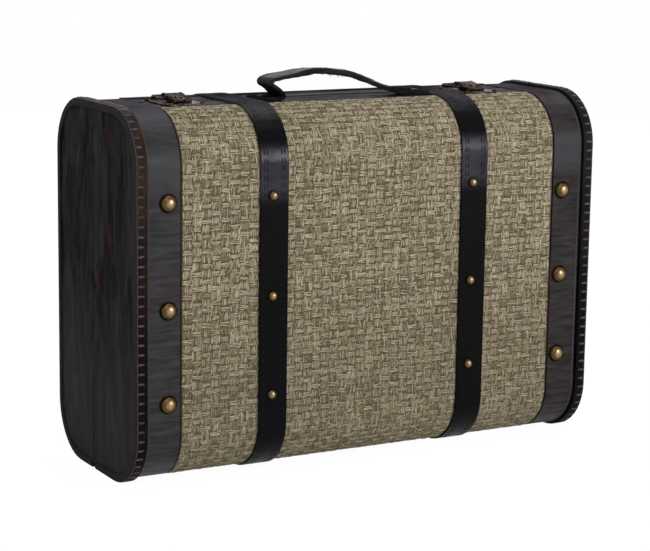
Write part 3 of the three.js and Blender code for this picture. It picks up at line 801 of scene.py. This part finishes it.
class SUITCASE_OT_straps(bpy.types.Operator):
    """Wrap the glossy straps and sew two lines along each edge"""

    bl_idname = "suitcase.straps"
    bl_label = "Straps"

    def execute(self, context):
        pitch = context.scene.suitcase_leather.strap_stitch
        for end in ENDS:
            dressed_pair(f"{end}_strap", "strap", STRAP_EDGE)
            low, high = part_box(f"base_{end}_strap")
            lines = [low.x + inset for inset in STRAP_SEAMS]
            lines += [high.x - inset for inset in reversed(STRAP_SEAMS)]
            for half in HALVES:
                stitched_lines(
                    half, f"{half}_{end}_strap_stitches", lines, STRAP_DEPTH, pitch, STRAP_STITCH,
                    "black_thread")
        return {"FINISHED"}


class SUITCASE_OT_bindings(bpy.types.Operator):
    """Fold the bindings over the end edges and sew them across"""

    bl_idname = "suitcase.bindings"
    bl_label = "Edge bindings"

    def execute(self, context):
        pitch = context.scene.suitcase_leather.binding_stitch
        for end, side in ENDS.items():
            dressed_pair(f"{end}_edge_binding", f"{end}_binding", BINDING_EDGE)
            low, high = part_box(f"base_{end}_edge_binding")
            middle = (low.x + high.x) / 2 + side * BINDING_SEAM_SHIFT
            for half in HALVES:
                stitched_lines(
                    half, f"{half}_{end}_binding_stitches", [middle], BINDING_SEAM_DEPTH, pitch,
                    BINDING_STITCH, f"{end}_thread")
        return {"FINISHED"}


def edge_tape(half, name):
    """A thin curved tape over the cloth's top edge, drawn flat as a grid and laid round the corner."""
    flat = HALVES[half]["depth"] - CORNER
    tape = start_shape(bpy.ops.mesh.primitive_grid_add, name, x_subdivisions=24, y_subdivisions=8, size=1)
    for vertex in tape.data.vertices:
        along = flat + TAPE_START + (vertex.co.y + 0.5) * TAPE_REACH
        y, z = wrap_place(half, COVER_DEPTH - TAPE_THICKNESS / 2, along)[0]
        vertex.co = (vertex.co.x * 2 * cover_high.x, y, z)
    modify(tape, "SOLIDIFY", thickness=TAPE_THICKNESS, offset=0)
    return smooth(tidy_normals(tape), 50)


class SUITCASE_OT_trims(bpy.types.Operator):
    """Finish the flat leather strips on the top and the bottom"""

    bl_idname = "suitcase.trims"
    bl_label = "Top and bottom trims"

    def execute(self, context):
        for half in HALVES:
            for place in ("top", "bottom"):
                node = f"{half}_{place}_trim"
                trim = weigh_normals(copy_of_node(node, f"{node}_leather", TRIM_EDGE))
                dress(trim, "trim", half)
        dress(edge_tape("lid", "lid_top_edge_tape"), "trim", "lid")
        return {"FINISHED"}


# Wood and lining

LINING_THICKNESS = 0.5 * MM
BOARD_EDGE = 0.7 * MM


def thinned(points, node, end):
    """An end board's outline as a thin cloth on its inner face."""
    low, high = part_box(node)
    inner, outer = (high.x, low.x) if end == "left" else (low.x, high.x)
    flat = points.copy()
    flat[:, X] = inner - ENDS[end] * LINING_THICKNESS * (points[:, X] - outer) / (inner - outer)
    return flat


class SUITCASE_OT_box(bpy.types.Operator):
    """Finish the wooden walls and ends and the cloth inside"""

    bl_idname = "suitcase.box"
    bl_label = "Wooden box"

    def execute(self, context):
        for half in HALVES:
            dress(copy_of_node(f"{half}_wall", f"{half}_bent_wall"), "wood", half)
            dress(copy_of_node(f"{half}_lining", f"{half}_lining_cloth"), "lining", half)
            for end in ENDS:
                node = f"{half}_{end}_end_board"
                board = copy_of_node(node, f"{half}_{end}_end")
                cloth = moved_copy(
                    board, f"{half}_{end}_end_lining", lambda points: thinned(points, node, end))
                dress(cloth, "lining", half)
                dress(weigh_normals(smooth(rounded(board, BOARD_EDGE))), "wood", half)
        return {"FINISHED"}


# Nails

NAIL_RIM = 0.9 * MM
DOME_SHARE = 0.93
# The rolled rim, ring by ring: how far it widens, and how far it drops as a share of the rim's height
RIM_RINGS = ((1.04, -0.15), (1.035, -0.4), (1.0, -0.45))


def nail_model(radius, height, rim):
    """A domed nail: a half sphere pressed low, with a rolled rim where it meets the leather."""
    dome = radius * DOME_SHARE
    nail = start_shape(bpy.ops.mesh.primitive_uv_sphere_add, "nail", segments=28, ring_count=16, radius=dome)
    nail.scale.z = (height - rim) / dome
    with editing(fix_place(nail)):
        bpy.ops.mesh.bisect(plane_co=(0, 0, 0), plane_no=(0, 0, 1), clear_inner=True)
        bpy.ops.mesh.select_all(action="SELECT")
        bpy.ops.transform.translate(value=(0, 0, rim))
        bpy.ops.mesh.select_mode(type="EDGE")
        bpy.ops.mesh.select_all(action="DESELECT")
        bpy.ops.mesh.select_non_manifold()
        for scale, drop in RIM_RINGS:
            bpy.ops.mesh.extrude_region_move(TRANSFORM_OT_translate={"value": (0, 0, rim * drop)})
            bpy.ops.transform.resize(value=(scale, scale, 1), center_override=(0, 0, 0))
        bpy.ops.mesh.fill()
        bpy.ops.mesh.select_mode(type="VERT")
    tidy_normals(nail)
    # Height share over the dome: painted shade low on it, painted highlight high on it
    shade_and_highlight = nail.data.attributes.new("shade_and_highlight", "FLOAT", "POINT")
    shade_and_highlight.data.foreach_set("value", [max(vertex.co.z / height, 0) for vertex in nail.data.vertices])
    return nail


class SUITCASE_OT_nails(bpy.types.Operator):
    """Press the domed nails into the bands and straps, front and back"""

    bl_idname = "suitcase.nails"
    bl_label = "Domed nails"

    def execute(self, context):
        for end in ENDS:
            for kind in ("band", "strap"):
                self.press_row(f"{end}_{kind}", kind)
        return {"FINISHED"}

    def press_row(self, row, kind):
        depth = BAND_DEPTH if kind == "band" else STRAP_DEPTH
        places = []
        for number in (1, 2, 3):
            node = f"{row}_nail_{number}"
            low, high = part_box(node)
            middle = (low + high) / 2
            size = ((high.z - low.z) / 2, high.y - low.y, NAIL_RIM)
            turned = stood((middle.x, FRONT + depth, middle.z), QUARTER, "X")
            nail = repeated(nail_model(*size), [turned], f"{row}_domed_nail_{number}")
            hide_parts(node)
            dress(nail, "brass", "base")
            places.append(stood((middle.x, BACK - depth, middle.z), -QUARTER, "X"))
        dress(repeated(nail_model(*size), places, f"lid_{row}_nails"), "brass", "lid")


# Handle

HANDLE_THICKNESS = 3.2 * MM
HANDLE_EDGE = 0.9 * MM
# Creases press the strap in and out, and fraying moves its edges: size and strength
CREASES = (7 * MM, 0.9 * MM)
FRAYING = (2.6 * MM, 0.5 * MM)
# How much thicker the strap is in the grip; where along its length that starts and ends, each with its slope
GRIP_THICKER, GRIP_START, GRIP_START_SLOPE, GRIP_END, GRIP_END_SLOPE = 0.45, 0.3, 0.08, 0.74, 0.1
FIBRE_RADIUS, FIBRE_TIP, FIBRE_DROP = 0.42 * MM, 0.1 * MM, 1.2 * MM
SHORTEST_FIBRE, FIBRE_LENGTH, FIBRE_SPREAD = 0.8 * MM, 1.6 * MM, 0.8 * MM
RIVET_INSET = 7 * MM
RIVET_SINK = 0.1 * MM
RIVET_SIZE = (3 * MM, 1.4 * MM, 0.4 * MM)
STEPS = 600
# Shares of the half span and of the rise, and how far the far edge then stands over the near one
HANDLE_ROUTE = [
    (-1, 0, 0), (-0.91, 0, 0), (-0.82, 0, 0), (-0.755, 0.015, 0), (-0.722, 0.1, 0), (-0.735, 0.2, 0),
    (-0.775, 0.34, 0), (-0.828, 0.48, 0), (-0.862, 0.59, 0), (-0.848, 0.7, 0), (-0.775, 0.79, 0),
    (-0.647, 0.86, 0), (-0.475, 0.95, -0.05), (-0.343, 1, -0.09), (-0.238, 0.99, -0.08),
    (-0.132, 0.95, -0.04), (0.053, 0.86, 0.03), (0.17, 0.75, 0.1), (0.284, 0.61, 0.17), (0.38, 0.48, 0.2),
    (0.454, 0.37, 0.2), (0.56, 0.22, 0.15), (0.673, 0.105, 0.1), (0.796, 0.02, 0.03), (0.9, 0, 0), (1, 0, 0),
]


def handle_edge(side, half_span, middle, width, rise, seat):
    """One edge of the handle's middle sheet, drawn as a smooth curve and read back as points."""
    curve = bpy.data.curves.new("handle_edge", "CURVE")
    curve.dimensions = "3D"
    curve.resolution_u = 24
    spline = curve.splines.new("BEZIER")
    spline.bezier_points.add(len(HANDLE_ROUTE) - 1)
    for point, (along, up, tilt) in zip(spline.bezier_points, HANDLE_ROUTE):
        point.co = (along * half_span, middle + side * width / 2, seat + (up + side * tilt / 2) * rise)
        point.handle_left_type = point.handle_right_type = "AUTO"
    edge = linked("handle_edge", curve)
    select_only(edge)
    bpy.ops.object.convert(target="MESH")
    points = np.array([tuple(vertex.co) for vertex in edge.data.vertices])
    bpy.data.objects.remove(edge)
    points[:, Z] = np.maximum(points[:, Z], seat)
    length = np.concatenate([[0], np.cumsum(np.linalg.norm(np.diff(points, axis=0), axis=1))])
    even = np.linspace(0, length[-1], STEPS)
    return np.stack([np.interp(even, length, points[:, axis]) for axis in (X, Y, Z)], 1), length[-1]


def lay_handle(points, edges):
    """Bends the flat strap along its route: X is the share of its length, Y across, Z out of it."""
    near, far = edges
    middle = (near + far) / 2
    across = far - near
    across /= np.linalg.norm(across, axis=1)[:, None]
    tangent = np.gradient(middle, axis=0)
    up = np.cross(tangent, across)
    up /= np.linalg.norm(up, axis=1)[:, None]
    index = np.clip(points[:, X], 0, 1) * (len(middle) - 1)
    whole = np.minimum(index.astype(int), len(middle) - 2)
    part = (index - whole)[:, None]

    def between(table):
        return table[whole] * (1 - part) + table[whole + 1] * part

    share, aside, out = (points[:, axis, None] for axis in (X, Y, Z))
    begun = np.clip((share - GRIP_START) / GRIP_START_SLOPE, 0, 1)
    not_ended = np.clip((GRIP_END - share) / GRIP_END_SLOPE, 0, 1)
    thicker = 1 + GRIP_THICKER * begun * not_ended
    return between(middle) + between(across) * aside + between(up) * out * thicker


class SUITCASE_OT_handle(bpy.types.Operator):
    """Fold the worn handle strap along its route and rivet it down"""

    bl_idname = "suitcase.handle"
    bl_label = "Handle"

    def execute(self, context):
        left_low, left_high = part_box("handle_left_root")
        middle = (left_low.y + left_high.y) / 2
        width = left_high.y - left_low.y
        half_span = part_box("handle_right_root")[1].x
        seat = TRIM_TOP + HANDLE_THICKNESS / 2
        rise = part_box("handle_grip")[1].z - HANDLE_THICKNESS / 2 - seat
        edges, lengths = zip(*(handle_edge(side, half_span, middle, width, rise, seat) for side in (-1, 1)))
        length = sum(lengths) / 2
        strap = start_shape(
            bpy.ops.mesh.primitive_grid_add, "handle_strap", x_subdivisions=190, y_subdivisions=12, size=1)
        strap.scale = (length, width, 1)
        modify(fix_place(strap), "SOLIDIFY", thickness=HANDLE_THICKNESS, offset=0)
        rounded(strap, HANDLE_EDGE, 3, 50)
        for (size, strength), way in ((CREASES, "Z"), (FRAYING, "Y")):
            texture = bpy.data.textures.new("handle_wear", "CLOUDS")
            texture.noise_scale = size
            modify(strap, "DISPLACE", texture=texture, strength=strength, mid_level=0.5, direction=way)
        # Along the strap, its points are laid by their share of its length
        bent = moved_copy(strap, "handle_folded_strap", lambda points: lay_handle(
            points / (length, 1, 1) + (0.5, 0, 0), edges))
        bpy.data.objects.remove(strap)
        cover(smooth(bent, 60), "handle")
        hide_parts("handle_left_root", "handle_grip", "handle_right_root")
        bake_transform(bent)
        self.rivets(middle, half_span - RIVET_INSET)
        self.frays(edges)
        return {"FINISHED"}

    def frays(self, edges):
        """Torn fibres hanging from the near lower edge of the arch."""
        draw = np.random.default_rng(5)
        fibre = start_shape(
            bpy.ops.mesh.primitive_cone_add, "fibre", vertices=6, radius1=FIBRE_RADIUS, radius2=FIBRE_TIP,
            depth=1, location=(0, 0, 0.5))
        fix_place(fibre)
        matrices = []
        # Nine in a tuft near the strap's middle, and ten spread from there along a sixth of its length
        for share in np.concatenate([draw.normal(0.47, 0.025, 9), draw.uniform(0.46, 0.62, 10)]):
            near, far = (edge[int(share * (STEPS - 1))] for edge in edges)
            root = Vector(near + (far - near) * draw.uniform(0.0, 0.25)) - Vector((0, 0, FIBRE_DROP))
            length = abs(draw.normal(FIBRE_LENGTH, FIBRE_SPREAD)) + SHORTEST_FIBRE
            hanging = stood(root, math.pi + draw.normal(0, 0.5), "Y")
            leaning = Matrix.Rotation(draw.normal(0, 0.4), 4, "X")
            matrices.append(hanging @ leaning @ Matrix.Diagonal((1, 1, length, 1)))
        dress(repeated(fibre, matrices, "handle_frays"), "handle", "handle")

    def rivets(self, middle, place):
        top = TRIM_TOP + HANDLE_THICKNESS - RIVET_SINK
        places = [stood((side * place, middle, top)) for side in (-1, 1)]
        dress(repeated(nail_model(*RIVET_SIZE), places, "handle_rivets"), "rivet", "base")


# Latches and hinges

PLATE_TOP = TRIM_TOP + 1.4 * MM
# A screw head's radius and height; its slot's length and width by the radius, depth and place by the height
LATCH_SCREW = (2.25 * MM, 1.15 * MM)
HINGE_SCREW = (2.0 * MM, 0.26 * MM)
SLOT_SHARES, SLOT_PLACE_SHARE = (2.4, 0.28, 1.2), 1.15
LATCH_SCREW_INSET = 3.4 * MM
# The spring's sizes and turns, its place over the plate and behind the lever, and how its coils lean
SPRING_RADIUS, SPRING_WIRE, SPRING_PITCH, SPRING_TURNS = 1.2 * MM, 0.5 * MM, 1.3 * MM, 11
SPRING_HEIGHT, SPRING_BEHIND, SPRING_LEAN = 1.7 * MM, 2.1 * MM, 0.15
HINGE_EDGE = 0.12 * MM
# The hinge screws' places on a leaf, how far they stand out, and the turn of their slots in radians
HINGE_SCREW_INSET, HINGE_SCREWS_APART = 7 * MM, 19 * MM
HINGE_SCREW_LIFT, HINGE_SLOT_TURN = 0.02 * MM, 9.5


def domed_head(radius, height):
    head = start_shape(
        bpy.ops.mesh.primitive_uv_sphere_add, "screw", segments=24, ring_count=12, radius=radius)
    head.scale.z = height / radius
    with editing(fix_place(head)):
        bpy.ops.mesh.bisect(plane_co=(0, 0, 0), plane_no=(0, 0, 1), clear_inner=True, use_fill=True)
    return head


def flat_head(radius, height):
    return start_shape(
        bpy.ops.mesh.primitive_cylinder_add, "screw", vertices=24, radius=radius, depth=height * 2)


def screws(head_model, size, places, name):
    """Screws with a driver's slot across each head."""
    radius, height = size
    head = head_model(radius, height)
    slot = start_shape(bpy.ops.mesh.primitive_cube_add, "slot", size=1)
    long_share, wide_share, deep_share = SLOT_SHARES
    slot.scale = (radius * long_share, radius * wide_share, height * deep_share)
    slot.location.z = height * SLOT_PLACE_SHARE
    modify(head, "BOOLEAN", operation="DIFFERENCE", object=fix_place(slot))
    bpy.data.objects.remove(slot)
    return smooth(repeated(head, places, name))


class SUITCASE_OT_latches(bpy.types.Operator):
    """Finish both latches: plates, levers, wire bails, keepers, springs and screws"""

    bl_idname = "suitcase.latches"
    bl_label = "Latches"

    def execute(self, context):
        for end in ENDS:
            self.latch(end)
        return {"FINISHED"}

    def latch(self, end):
        for part, body, slot, bevel in (
                ("base", "base", "latch_bronze", 0.35 * MM),
                ("lever", f"{end}_lever", "latch_bronze", 0.4 * MM),
                ("keeper", "lid", "latch_bronze", 0.35 * MM),
                ("pin", "base", "bail_brass", 0.2 * MM),
                ("bail", f"{end}_bail", "bail_brass", 0.0)):
            node = f"{end}_latch_{part}"
            dress(copy_of_node(node, f"{node}_metal", bevel), "latch", body)
        plate_low, plate_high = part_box(f"{end}_latch_base")
        keeper_low, keeper_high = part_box(f"{end}_latch_keeper")
        draw = np.random.default_rng(11 if end == "left" else 12)
        for name, body, left, right, y in (
                ("plate", "base", plate_low.x, plate_high.x, plate_low.y + LATCH_SCREW_INSET),
                ("keeper", "lid", keeper_low.x, keeper_high.x, keeper_high.y - LATCH_SCREW_INSET)):
            places = [
                stood((x, y, PLATE_TOP), draw.uniform(0, math.pi))
                for x in (left + LATCH_SCREW_INSET, right - LATCH_SCREW_INSET)]
            heads = screws(domed_head, LATCH_SCREW, places, f"{end}_{name}_screws")
            dress(heads, "latch", body)
        self.spring(end, (plate_low.x + plate_high.x) / 2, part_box(f"{end}_latch_lever")[0].y - SPRING_BEHIND)

    def spring(self, end, middle, y):
        coil = start_shape(
            bpy.ops.mesh.primitive_torus_add, "coil", major_radius=SPRING_RADIUS, minor_radius=SPRING_WIRE,
            major_segments=20, minor_segments=8, rotation=(0, QUARTER, 0))
        first = middle - (SPRING_TURNS - 1) / 2 * SPRING_PITCH
        places = [
            stood((first + turn * SPRING_PITCH, y, PLATE_TOP + SPRING_HEIGHT), SPRING_LEAN)
            for turn in range(SPRING_TURNS)]
        dress(repeated(fix_place(coil), places, f"{end}_latch_spring"), "wire", "base")


class SUITCASE_OT_hinges(bpy.types.Operator):
    """Finish the hinges under the seam and screw their leaves down"""

    bl_idname = "suitcase.hinges"
    bl_label = "Hinges"

    def execute(self, context):
        for end in ENDS:
            for part, body, side in (("base_leaf", "base", -1), ("lid_leaf", "lid", 1), ("pin", "base", 0)):
                node = f"{end}_hinge_{part}"
                dress(copy_of_node(node, f"{node}_metal", HINGE_EDGE), "hinge", body)
                if side:
                    self.screw_down(node, body, side)
        return {"FINISHED"}

    def screw_down(self, node, body, side):
        low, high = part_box(node)
        middle = (low.x + high.x) / 2
        y = high.y - HINGE_SCREW_INSET if side > 0 else low.y + HINGE_SCREW_INSET
        places = [
            stood((middle + way * HINGE_SCREWS_APART / 2, y, low.z + HINGE_SCREW_LIFT), math.pi, "X")
            @ Matrix.Rotation(way * HINGE_SLOT_TURN, 4, "Z") for way in (-1, 1)]
        dress(screws(flat_head, HINGE_SCREW, places, f"{node}_screws"), "hinge", body)


# Stage

# Name, place, target, size, watts
LAMPS = (
    ("key", (-0.75, -1.9, 1.65), (0, 0, 0.15), (1.3, 1.3), 10.0),
    ("top", (0.15, -0.35, 1.9), (0, 0, 0.2), (1.2, 1.2), 7.0),
    ("fill", (-2.1, -0.5, 0.7), (-0.1, 0, 0.15), (1.2, 1.2), 4.5),
    ("side", (1.0, -1.86, 0.52), (0, 0, 0.24), (0.45, 0.7), 16.0),
    ("back", (0.9, 1.9, 1.1), (0, 0, 0.15), (1.4, 1.4), 10.0),
)


def white_for_camera(tree, share):
    """The share for rays that see plain white: from the camera, off gloss, through glass. 0 for the rest."""
    camera, glossy, through = (
        add_node(tree, "LightPath", output=f"Is {ray} Ray") for ray in ("Camera", "Glossy", "Transmission"))
    seen = add_node(tree, "Math", (camera, glossy), operation="MAXIMUM")
    seen = add_node(tree, "Math", (seen, through), operation="MAXIMUM")
    return add_node(tree, "Math", (seen, share), operation="MULTIPLY")


class SUITCASE_OT_stage(bpy.types.Operator):
    """Set the camera, the soft studio lamps and the pale floor"""

    bl_idname = "suitcase.stage"
    bl_label = "Camera, lamps and floor"

    def execute(self, context):
        self.camera()
        self.world()
        self.floor()
        for settings in LAMPS:
            self.lamp(*settings)
        context.scene.view_settings.view_transform = "Standard"
        return {"FINISHED"}

    def camera(self):
        """Stands where the photograph was taken from: 1.65 m away, to the left and a little above."""
        azimuth, elevation, roll = (math.radians(angle) for angle in (-29.1804, 10.7274, 0.831))
        distance, side_shift, rise_shift = 1.65048, -0.00284, -0.0055
        level = math.cos(elevation)
        back = Vector((math.sin(azimuth) * level, -math.cos(azimuth) * level, math.sin(elevation)))
        right = Vector((math.cos(azimuth), math.sin(azimuth), 0))
        up = back.cross(right)
        place = Vector((0, 0, TOP / 2)) + back * distance + right * side_shift + up * rise_shift
        across = right * math.cos(roll) + up * math.sin(roll)
        upright = up * math.cos(roll) - right * math.sin(roll)
        data = bpy.data.cameras.new("camera")
        data.sensor_width = 36.0
        data.lens = 114.25
        data.clip_start = 0.05
        camera = linked("camera", data)
        camera.matrix_world = Matrix((
            (across.x, upright.x, back.x, place.x), (across.y, upright.y, back.y, place.y),
            (across.z, upright.z, back.z, place.z), (0, 0, 0, 1)))
        bpy.context.scene.camera = camera

    def world(self):
        world = bpy.data.worlds.new("studio")
        bpy.context.scene.world = world
        tree = emptied(world)
        soft, white = (
            add_node(tree, "Background", {"Color": (1, 1, 1, 1), "Strength": strength})
            for strength in (0.3, 1.0))
        light = add_node(tree, "MixShader", (white_for_camera(tree, 1.0), soft, white))
        add_node(tree, "OutputWorld", (light,))

    def floor(self):
        """Pale paper that keeps the shadow; a lid swung below it still shows through."""
        floor = start_shape(bpy.ops.mesh.primitive_plane_add, "floor", size=9)
        material = bpy.data.materials.new("pale_paper_floor")
        tree = emptied(material)
        paper = add_node(tree, "BsdfDiffuse", {"Color": (0.86, 0.86, 0.86, 1)})
        clear = add_node(tree, "BsdfTransparent")
        sheer = add_node(tree, "MixShader", (white_for_camera(tree, 0.9), paper, clear))
        glow = add_node(tree, "Emission", {"Color": (1, 1, 1, 1), "Strength": white_for_camera(tree, 0.065)})
        add_node(tree, "OutputMaterial", (add_node(tree, "AddShader", (sheer, glow)),))
        floor.data.materials.append(material)

    def lamp(self, name, place, target, size, energy):
        data = bpy.data.lights.new(name, "AREA")
        data.shape = "RECTANGLE"
        data.size, data.size_y = size
        data.energy = energy
        lamp = linked(name, data)
        lamp.location = place
        lamp.rotation_euler = (Vector(target) - Vector(place)).to_track_quat("-Z", "Y").to_euler()


# Panel and order of work


class SUITCASE_PT_panel(bpy.types.Panel):
    """The suitcase's sizes, colours and pieces"""

    bl_idname = "SUITCASE_PT_panel"
    bl_label = "Suitcase"
    bl_space_type = "VIEW_3D"
    bl_region_type = "UI"
    bl_category = "Suitcase"

    def draw(self, context):
        for group_name in GROUPS:
            group = getattr(context.scene, group_name)
            box = self.layout.box()
            for name in group.bl_rna.properties.keys():
                if name not in ("rna_type", "name"):
                    box.prop(group, name)
        for operator in OPERATORS:
            self.layout.operator(operator.bl_idname)


OPERATORS = (
    SUITCASE_OT_stage,
    SUITCASE_OT_box,
    SUITCASE_OT_cloth,
    SUITCASE_OT_bands,
    SUITCASE_OT_straps,
    SUITCASE_OT_bindings,
    SUITCASE_OT_trims,
    SUITCASE_OT_nails,
    SUITCASE_OT_handle,
    SUITCASE_OT_latches,
    SUITCASE_OT_hinges,
)
GROUPS = {
    "suitcase_cloth": SuitcaseCloth,
    "suitcase_leather": SuitcaseLeather,
    "suitcase_hardware": SuitcaseHardware,
}


def register():
    for kind in (*GROUPS.values(), *OPERATORS, SUITCASE_PT_panel):
        bpy.utils.register_class(kind)
    for name, group in GROUPS.items():
        setattr(bpy.types.Scene, name, PointerProperty(type=group))


def unregister():
    for name in GROUPS:
        delattr(bpy.types.Scene, name)
    for kind in reversed((*GROUPS.values(), *OPERATORS, SUITCASE_PT_panel)):
        bpy.utils.unregister_class(kind)


def main():
    register()
    for operator in OPERATORS:
        getattr(bpy.ops.suitcase, operator.bl_idname.split(".")[1])()


if __name__ == "__main__":
    main()
